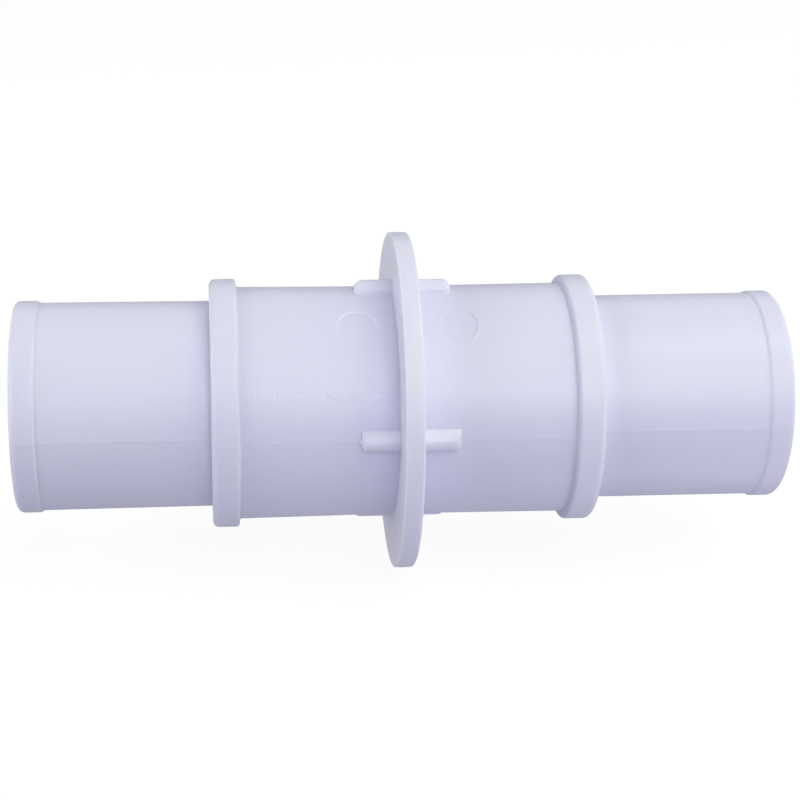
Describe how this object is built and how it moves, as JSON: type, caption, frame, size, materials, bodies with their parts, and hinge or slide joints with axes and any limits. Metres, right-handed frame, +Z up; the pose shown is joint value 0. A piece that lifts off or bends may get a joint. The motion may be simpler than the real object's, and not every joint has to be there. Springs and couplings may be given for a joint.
{
  "type": "push fit hose coupling",
  "caption": "Straight plastic coupling that joins two push-fit hoses or pipes end to end, with a centre flange, ribs, stop rings and end beads.",
  "frame": {"origin": "centre of the flange, on the bore's axis", "axes": "+X along the bore towards the right-hand spigot, +Z up, square to the mould's parting plane"},
  "size_m": [0.1408, 0.0624, 0.0624],
  "materials": {
    "white_plastic": "satin"
  },
  "bodies": {
    "root": {"centre_flange": "white_plastic", "left_end_bead": "white_plastic", "left_spigot": "white_plastic", "left_stop_ring": "white_plastic", "left_barrel": "white_plastic", "left_rib_top": "white_plastic", "left_rib_front": "white_plastic", "left_rib_bottom": "white_plastic", "left_rib_back": "white_plastic", "right_end_bead": "white_plastic", "right_spigot": "white_plastic", "right_stop_ring": "white_plastic", "right_barrel": "white_plastic", "right_rib_top": "white_plastic", "right_rib_front": "white_plastic", "right_rib_bottom": "white_plastic", "right_rib_back": "white_plastic"}
  },
  "joints": []
}
